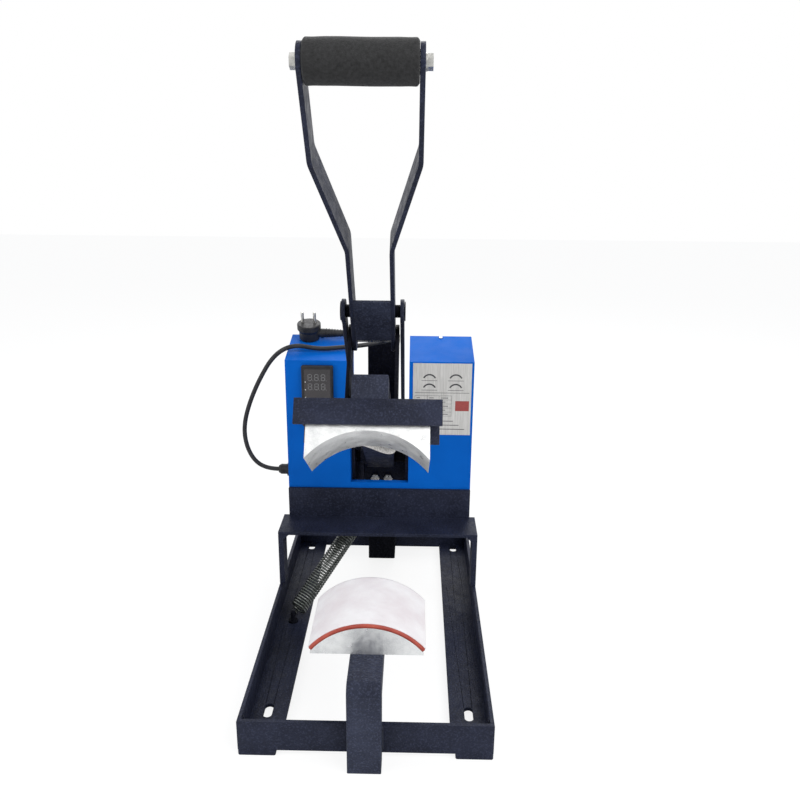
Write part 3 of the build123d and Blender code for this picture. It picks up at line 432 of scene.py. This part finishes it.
def mains_lead():
    tip = (PLUG_TIP.x * 1000, (PLUG_TIP.y + SHIFT) * 1000, PLUG_TIP.z * 1000)
    corners = [
        (-163.5, 408, 202),
        (-180, 408, 202),
        (-201, 408, 213),
        (-214, 408, 238),
        (-217.5, 408, 270),
        (-209, 407, 306),
        (-190, 405, 350),
        (-164, 403, 393),
        (-133, 402, 410),
        (-96, 405, 402.2),
        (-62, 410, 404),
        (-28, 417, 406),
        (-2, 428, 408.5),
        (16, 443, 410.8),
        (24, 463, 412),
        (22, 484, 412.2),
        (9, 499, 412.4),
        (-10, 501, 412.8),
        (-24, 489, 413.8),
        (-28, 473, 415.8),
        (-30, 457, 417.2),
        (tip[0] + 13, tip[1], tip[2]),
        tip,
    ]
    lead = route_curve("mains_lead", [at(*p) for p in corners], 0.007, "cord")
    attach(lead, "frame")
    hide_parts("power_cord")


def heater_sleeve():
    corners = [
        (-12, UPPER_PLATEN_REAR, 166.5),
        (-12, 126, 166.5),
        (-9, 138, 168),
        (-1, 150, 168),
        (11, 160, 165),
        (22, 169, 164),
        (27, 179, 169),
        (24, 188, 179),
        (16, 193, 188),
        (12, 196, 199),
        (11, 200, 210),
    ]
    points = [OPEN_TURN @ at(*p) for p in corners]
    sleeve = route_curve("heater_sleeve", points, 0.008, "sleeve")
    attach(sleeve, "beam_arm")
    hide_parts("heater_lead")


mains_lead()
heater_sleeve()


# ------------------------------------------------------------------ spring
def return_spring():
    low, high = at(*SPRING_LOW), at(*SPRING_HIGH)
    axis = (high - low).normalized()
    side = axis.cross(Vector((0, 0, 1))).normalized()
    up = side.cross(axis)
    length = (high - low).length
    stub = 0.01
    start, end = stub, length - stub
    mid_r, wire = 0.0119, 0.0015
    turns, hook_r = 38, 0.0035
    path = []
    for i in range(9):
        a = math.pi * 1.5 * i / 8
        path.append(low + axis * (hook_r - hook_r * math.cos(a)) + up * hook_r * math.sin(a))
    steps = turns * 18
    for i in range(steps + 1):
        t = i / steps
        grow = min(1.0, t * steps / 14, (1 - t) * steps / 14)
        a = 2 * math.pi * turns * t
        out = (side * math.cos(a) + up * math.sin(a)) * mid_r * grow
        path.append(low + axis * (start + (end - start) * t) + out)
    for i in range(9):
        a = math.pi * 1.5 * (8 - i) / 8
        path.append(high - axis * (hook_r - hook_r * math.cos(a)) + up * hook_r * math.sin(a))
    verts, faces = tube_data(path, wire, 7)
    spring = piece("coil_spring", verts, faces, "spring", None)
    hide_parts("return_spring")
    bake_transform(spring)


return_spring()


# ------------------------------------------------------------------ lower pad
CENTRE_Z = PLATEN_SEAT_Z + LOWER_EDGE - math.sqrt(PRESS_RADIUS ** 2 - HALF_PLATEN ** 2)


def arc_layer(name, inner, outer, limit, y0, y1, look, wrinkle=0.0, rows=40, columns=120):
    """Curved layer over the pressing arc, with soft edges and slight wrinkles."""
    verts, faces, uvs = [], [], []
    soft = min(0.5, (outer - inner) * 0.35)
    for top in (True, False):
        for j in range(rows + 1):
            v = j / rows
            y = y0 + (y1 - y0) * v
            for i in range(columns + 1):
                u = i / columns
                a = -limit + 2 * limit * u
                edge = min(v, 1 - v) * (y1 - y0)
                edge = min(edge, min(u, 1 - u) * 2 * limit * outer)
                r = outer if top else inner
                if top:
                    r -= soft * max(0, 1 - edge / 1.6) ** 2
                    ripple = math.sin(a * 21 + 1.7 * math.sin(y * 0.11)) * math.sin(y * 0.16 + a * 3)
                    r -= wrinkle * (0.5 + 0.5 * ripple) * min(1, edge / 6)
                verts.append(at(r * math.sin(a), y, CENTRE_Z + r * math.cos(a)))
                uvs.append((a * outer / 1000, y / 1000))
    wide = columns + 1
    half = wide * (rows + 1)
    for j in range(rows):
        for i in range(columns):
            a = j * wide + i
            faces.append((a, a + wide, a + wide + 1, a + 1)[::-1])
            b = a + half
            faces.append((b, b + 1, b + wide + 1, b + wide)[::-1])
    rim = [i for i in range(wide)] + [j * wide + columns for j in range(1, rows + 1)]
    rim += [rows * wide + i for i in range(columns - 1, -1, -1)] + [j * wide for j in range(rows - 1, 0, -1)]
    for a, b in zip(rim, rim[1:] + rim[:1]):
        faces.append((a, b, b + half, a + half)[::-1])
    obj = piece(name, verts, faces, look, "frame")
    layer = obj.data.uv_layers.new(name="UVMap")
    for loop in obj.data.loops:
        layer.data[loop.index].uv = uvs[loop.vertex_index]
    mesh_normals(obj)
    return obj


def mesh_normals(obj):
    edit = bmesh.new()
    edit.from_mesh(obj.data)
    bmesh.ops.recalc_face_normals(edit, faces=edit.faces)
    edit.to_mesh(obj.data)
    edit.free()


def lower_pad():
    limit = math.asin(HALF_PLATEN / PRESS_RADIUS) - 0.004
    y0, y1 = PLATEN_FRONT, LOWER_PLATEN_REAR
    layer = arc_layer("silicone_layer", 86.3, 90.8, limit, y0, y1, "silicone")
    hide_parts("silicone_pad")
    cloth = arc_layer("cloth_cover", 90.8, 91.9, limit, y0 + 2, y1 - 1, "cloth", 0.35)
    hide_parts("pad_cover")


lower_pad()


# ------------------------------------------------------------------ foam grip
def foam_grip():
    verts, faces = [], []
    rings, sides = 90, 64
    half, bore = 53.2, 0.011
    for i in range(rings + 1):
        x = -half + 2 * half * i / rings
        edge = half - abs(x)
        r = 21.0 - 3.0 * max(0, 1 - edge / 3.0) ** 2
        r -= 0.25 * math.exp(-((abs(x) - 44) / 6) ** 2)
        for k in range(sides):
            a = 2 * math.pi * k / sides
            dent = 0.14 * math.sin(3 * a + x * 0.06) + 0.1 * math.sin(5 * a - x * 0.11)
            rr = (r + dent - 0.15) / 1000
            local = Vector((x / 1000, rr * math.cos(a), GRIP_HEIGHT + rr * math.sin(a)))
            verts.append(LEAN @ local)
    for i in range(rings):
        for k in range(sides):
            a, b = i * sides + k, i * sides + (k + 1) % sides
            faces.append((a, a + sides, b + sides, b))
    for end, order in ((0, 1), (rings, -1)):
        x = (-half if end == 0 else half) / 1000
        start = len(verts)
        for k in range(sides):
            a = 2 * math.pi * k / sides
            verts.append(LEAN @ Vector((x, bore * math.cos(a), GRIP_HEIGHT + bore * math.sin(a))))
        for k in range(sides):
            n = (k + 1) % sides
            quad = (end * sides + k, end * sides + n, start + n, start + k)
            faces.append(quad[::order])
    grip = piece("grip_sleeve", verts, faces, "foam", "handle")
    mesh_normals(grip)
    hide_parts("foam_grip")


foam_grip()


# ------------------------------------------------------------------ controller face
SEGMENTS = {"a": (0, 1, 1), "d": (0, -1, 1), "g": (0, 0, 1), "f": (-1, 0.5, 0), "b": (1, 0.5, 0),
            "e": (-1, -0.5, 0), "c": (1, -0.5, 0)}


def bar(cx, cz, length, flat, y):
    """One slanted-end display segment."""
    half, thick = length / 2, 0.5
    outline = [(-half, 0), (-half + thick, thick), (half - thick, thick), (half, 0),
               (half - thick, -thick), (-half + thick, -thick)]
    verts = []
    for depth in (0, 0.12):
        for a, b in outline:
            dx, dz = (a, b) if flat else (b, a)
            verts.append(at(cx + dx, y - depth, cz + dz))
    faces = [tuple(range(6, 12)), tuple(reversed(range(6)))]
    for i in range(6):
        n = (i + 1) % 6
        faces.append((i, n, n + 6, i + 6))
    return verts, faces


def display_digits():
    face_y = HOUSING_FRONT - BEZEL_DEPTH + 0.5
    parts = []
    for row_z in (366, 351.5):
        for column in range(3):
            cx = -105 + column * 10
            for sx, sz, flat in SEGMENTS.values():
                parts.append(bar(cx + sx * 2.7, row_z + sz * 4.7, 4.4, bool(flat), face_y))
            parts.append(slab(cx + 4.1, cx + 5.0, row_z - 5.4, row_z - 4.5, face_y - 0.12, face_y))
    verts, faces = join_data(parts)
    digits = piece("display_digits", verts, faces, "digit_grey", "frame", False)
    mesh_normals(digits)
    lamps = []
    for i in range(4):
        lamps.append(slab(-112.8, -111.3, 322 + 12 * i, 323.5 + 12 * i, face_y - 0.2, face_y))
    for i in range(3):
        lamps.append(slab(-104 + 11 * i, -98.5 + 11 * i, 314.6, 315.4, face_y - 0.15, face_y))
    verts, faces = join_data(lamps)
    mesh_normals(piece("display_lamps", verts, faces, "mark_white", "frame", False))


def key_marks():
    face_y = HOUSING_FRONT - BEZEL_DEPTH - KEY_PROUD
    shapes = {1: [(-1.4, 0), (0, 1.3), (1.4, 0), (0, -1.3)], 2: [(-1.4, 0), (0.9, 1.3), (0.9, -1.3)],
              3: [(-1.4, 1), (1.4, 1), (0, -1.2)], 4: [(-1.4, -1), (0, 1.2), (1.4, -1)]}
    for number, outline in shapes.items():
        cx, cz = -94 - 15 + 10 * (number - 1), 336 - 38
        count = len(outline)
        verts = [at(cx + x, face_y - depth, cz + z) for depth in (0, 0.12) for x, z in outline]
        faces = [tuple(range(count)), tuple(reversed(range(count, 2 * count)))]
        for i in range(count):
            n = (i + 1) % count
            faces.append((i, n, n + count, i + count))
        body = f"key_{number}_cap"
        mark = piece(f"key_mark_{number}", verts, faces, "mark_white", body, False)
        mesh_normals(mark)


display_digits()
key_marks()


# ------------------------------------------------------------------ rating plate
def arch(cx, cz, radius, width, y):
    """Small half ring used as a picture of the curved platen."""
    verts, faces = [], []
    steps = 14
    for depth in (0, 0.1):
        for i in range(steps + 1):
            a = math.pi * (0.15 + 0.7 * i / steps)
            for r in (radius, radius - width):
                verts.append(at(cx + r * math.cos(a), y - depth, cz + r * math.sin(a) - radius * 0.6))
    wide = 2 * (steps + 1)
    for i in range(steps):
        a = 2 * i
        faces.append((a, a + 1, a + 3, a + 2))
        faces.append((a + wide, a + 2 + wide, a + 3 + wide, a + 1 + wide))
        faces.append((a, a + 2, a + 2 + wide, a + wide))
        faces.append((a + 1, a + 1 + wide, a + 3 + wide, a + 3))
    return verts, faces


def plate_print():
    y = HOUSING_FRONT - LABEL_THICKNESS
    dark, red = [], []
    x0, x1, z0, z1 = 51 + 3, 140 - 3, 275 + 3, 389 - 3

    def ink(a, b, c, d):
        dark.append(slab(a, b, c, d, y - 0.1, y))

    for i in range(2):
        for j in range(2):
            cx, cz = x0 + 22 + 40 * i, z1 - 18 - 15 * j
            dark.append(arch(cx, cz, 11, 2.2, y))
            ink(cx - 12, cx + 12, cz - 6.4, cz - 5.8)
    ink(x0, x1, z1 - 43.6, z1 - 43)
    table = [z1 - 48 - 6.5 * k for k in range(6)]
    for z in table:
        ink(x0, x0 + 56, z, z + 0.35)
    for x in (x0, x0 + 19, x0 + 37, x0 + 56):
        ink(x, x + 0.35, table[-1], table[0])
    for k in range(5):
        ink(x0 + 3, x0 + 8 + 7 * ((k * 3) % 2), table[k + 1] + 2.6, table[k + 1] + 3.6)
        ink(x0 + 22, x0 + 29 + 5 * (k % 2), table[k + 1] + 2.6, table[k + 1] + 3.6)
        ink(x0 + 40, x0 + 51 - 4 * (k % 2), table[k + 1] + 2.6, table[k + 1] + 3.6)
    red.append(slab(x0 + 62, x1, z1 - 72, z1 - 56, y - 0.1, y))
    for k in range(3):
        ink(x0 + 2, x1 - 6 - 9 * k, z0 + 6 + 6.5 * k, z0 + 7 + 6.5 * k)
    verts, faces = join_data(dark)
    mesh_normals(piece("plate_print", verts, faces, "label_ink", "frame", False))
    verts, faces = join_data(red)
    mesh_normals(piece("plate_patch", verts, faces, "label_red", "frame", False))


plate_print()


# ------------------------------------------------------------------ weld beads
def bead(a, b, size=2.2):
    """Rippled weld along a straight joint, in millimetres."""
    start, end = at(*a), at(*b)
    length = (end - start).length * 1000
    steps = max(8, int(length / 0.9))
    path, radii = [], []
    for i in range(steps + 1):
        t = i / steps
        path.append(start.lerp(end, t))
        swell = 0.84 + 0.16 * abs(math.sin(i * 0.9)) + random.uniform(-0.04, 0.04)
        radii.append(size * swell * min(1, 0.45 + min(t, 1 - t) * length / 4) / 1000)
    return tube_data(path, radii, 8)


def weld_seams():
    fixed = []
    for side in (-1, 1):
        fixed.append(bead((side * 20, 0, 12), (side * 20, 0, 46), 1.8))
        fixed.append(bead((side * 23, 519, 14), (side * 23, 519, 46)))
        fixed.append(bead((side * 144.5, 318, 131), (side * 144.5, 342, 131), 1.6))
        fixed.append(bead((side * 147, 8 + 5.5, 14), (side * 147, 8 + 5.5, 46), 1.6))
        fixed.append(bead((side * 145, 317, 48), (side * 145, 343, 48), 1.6))
    verts, faces = join_data(fixed)
    piece("frame_welds", verts, faces, "weld", "frame")
    moving = []
    for side in (-1, 1):
        moving.append(bead((side * 22, 60, 196), (side * 22, 88, 196), 1.8))
        moving.append(bead((side * 32.5, 92, 196), (side * 32.5, 128, 196), 1.9))
    verts, faces = join_data(moving)
    verts = [OPEN_TURN @ v for v in verts]
    piece("beam_welds", verts, faces, "weld", "beam_arm")


weld_seams()


def relief_ribs():
    """Moulded ribs along the plug's strain relief."""
    parts = []
    for k in range(7):
        x = 0.027 + 0.0045 * k
        r = 0.0072 - 0.0024 * (x - 0.023) / 0.038
        path = []
        for i in range(25):
            a = 2 * math.pi * i / 24
            path.append(PLUG_SEAT @ Vector((x, r * math.cos(a), 0.010 + r * math.sin(a))))
        parts.append(tube_data(path, 0.0007, 6))
    verts, faces = join_data(parts)
    piece("relief_ribs", verts, faces, "cord", "frame")


relief_ribs()


# ------------------------------------------------------------------ studio
def studio():
    scene = bpy.context.scene
    scene.view_settings.view_transform = "Standard"
    world = bpy.data.worlds.new("studio")
    scene.world = world
    world.use_nodes = True
    tree = world.node_tree
    tree.nodes.clear()
    out = tree.nodes.new("ShaderNodeOutputWorld")
    soft = tree.nodes.new("ShaderNodeBackground")
    soft.inputs["Color"].default_value = (0.95, 0.97, 1.0, 1)
    soft.inputs["Strength"].default_value = 0.55
    white = tree.nodes.new("ShaderNodeBackground")
    white.inputs["Color"].default_value = (1, 1, 1, 1)
    white.inputs["Strength"].default_value = 1.0
    path = tree.nodes.new("ShaderNodeLightPath")
    mix = tree.nodes.new("ShaderNodeMixShader")
    shown = path.outputs["Is Camera Ray"]
    for ray in ("Is Glossy Ray", "Is Transmission Ray"):
        both = tree.nodes.new("ShaderNodeMath")
        both.operation = "MAXIMUM"
        tree.links.new(shown, both.inputs[0])
        tree.links.new(path.outputs[ray], both.inputs[1])
        shown = both.outputs[0]
    tree.links.new(shown, mix.inputs[0])
    tree.links.new(soft.outputs[0], mix.inputs[1])
    tree.links.new(white.outputs[0], mix.inputs[2])
    tree.links.new(mix.outputs[0], out.inputs[0])

    bpy.ops.mesh.primitive_plane_add(size=12, location=(0, 0, 0))
    floor = bpy.context.object
    floor.name = "floor"
    mat = bpy.data.materials.new("floor_paper")
    mat.use_nodes = True
    tree = mat.node_tree
    bsdf = tree.nodes["Principled BSDF"]
    bsdf.inputs["Base Color"].default_value = (0.9, 0.9, 0.9, 1)
    bsdf.inputs["Roughness"].default_value = 0.9
    glow = tree.nodes.new("ShaderNodeEmission")
    glow.inputs["Color"].default_value = (1, 1, 1, 1)
    glow.inputs["Strength"].default_value = 1.08
    path = tree.nodes.new("ShaderNodeLightPath")
    share = tree.nodes.new("ShaderNodeMath")
    share.operation = "MULTIPLY"
    share.inputs[1].default_value = 0.8
    mix = tree.nodes.new("ShaderNodeMixShader")
    tree.links.new(path.outputs["Is Camera Ray"], share.inputs[0])
    tree.links.new(share.outputs[0], mix.inputs[0])
    tree.links.new(bsdf.outputs[0], mix.inputs[1])
    tree.links.new(glow.outputs[0], mix.inputs[2])
    tree.links.new(mix.outputs[0], tree.nodes["Material Output"].inputs[0])
    floor.data.materials.append(mat)

    lamps = (
        ("key", (1.2, -1.2, 1.9), 27, 1.4),
        ("fill", (-1.4, -1.0, 1.3), 11, 1.4),
        ("back", (0.2, 1.5, 1.8), 16, 1.3),
    )
    for name, place, power, size in lamps:
        lamp = bpy.data.lights.new(name, "AREA")
        lamp.energy = power
        lamp.size = size
        obj = bpy.data.objects.new(name, lamp)
        scene.collection.objects.link(obj)
        obj.location = place
        aim = Vector((0, 0, 0.35)) - Vector(place)
        obj.rotation_euler = aim.to_track_quat("-Z", "Y").to_euler()

    camera = bpy.data.cameras.new("camera")
    camera.sensor_width = 36
    camera.lens = 36 * 784.5 / 800
    obj = bpy.data.objects.new("camera", camera)
    scene.collection.objects.link(obj)
    pose = Matrix.Rotation(math.radians(0.944), 4, "Z") @ Matrix.Rotation(math.radians(90 - 17.2), 4, "X")
    pose = pose @ Matrix.Rotation(math.radians(0.491), 4, "Z")
    obj.matrix_world = Matrix.Translation(at(50.38, -767.7, 685.1)) @ pose
    scene.camera = obj


studio()
